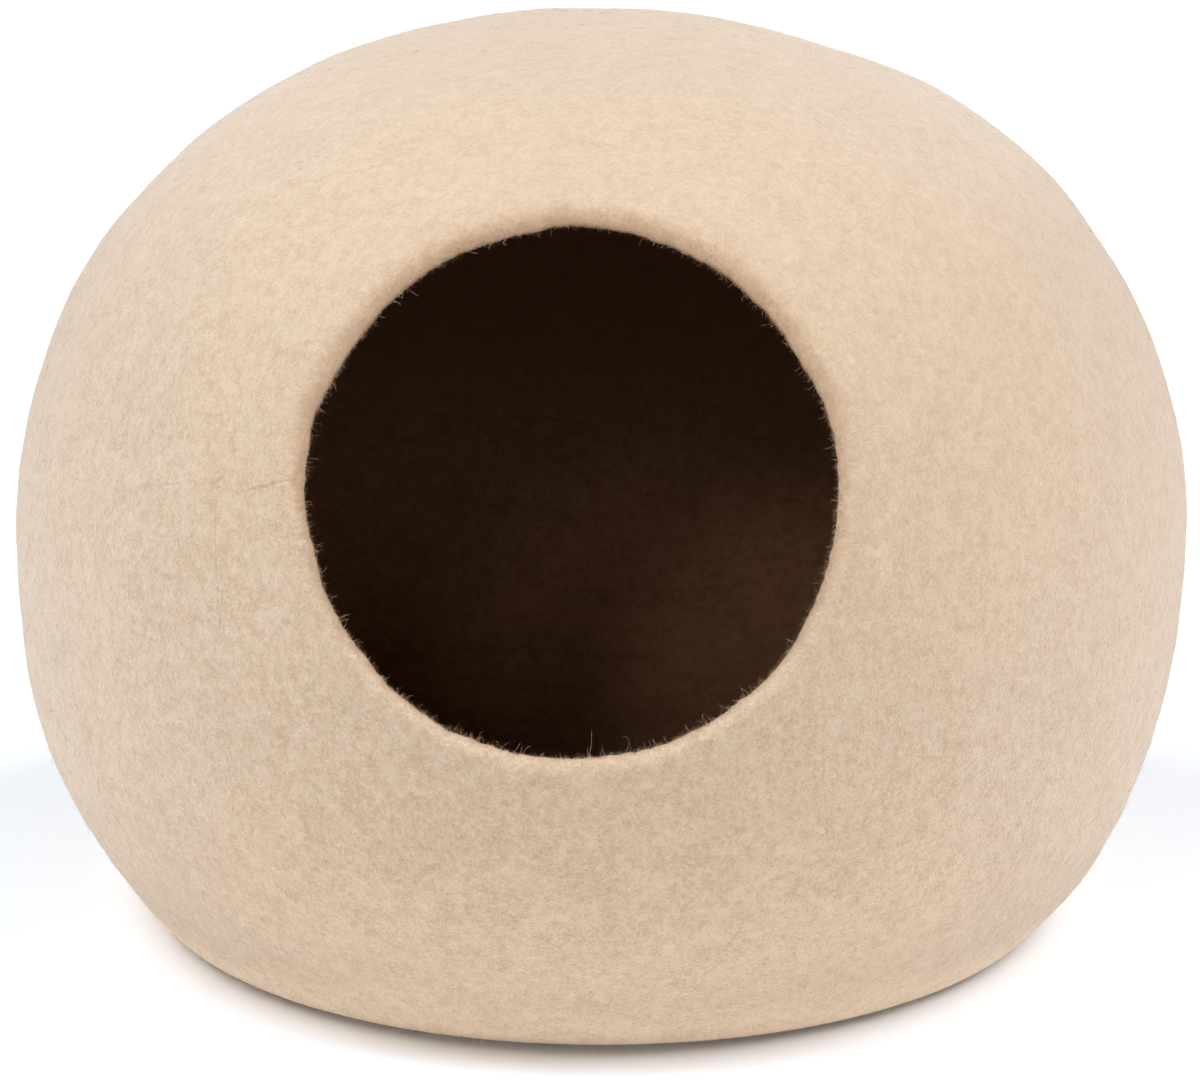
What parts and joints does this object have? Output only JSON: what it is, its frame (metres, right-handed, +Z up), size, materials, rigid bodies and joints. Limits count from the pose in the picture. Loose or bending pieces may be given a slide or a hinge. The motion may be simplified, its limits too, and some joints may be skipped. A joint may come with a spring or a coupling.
{
  "type": "felt cat cave",
  "caption": "Low round dome of thick wool felt, made in one seamless piece, with a flat base and a round mouth that a cat steps in through.",
  "frame": {"origin": "centre of the flat base, on the surface that the cave stands on", "axes": "+Z up; the mouth faces -Y, turned 3 degrees towards -X; +X is to the right of someone who looks into the mouth"},
  "size_m": [0.5009, 0.4991, 0.381],
  "materials": {
    "cream_felt": "matte felted wool, slightly hairy"
  },
  "bodies": {
    "root": {"felt_shell": "cream_felt"}
  },
  "joints": []
}
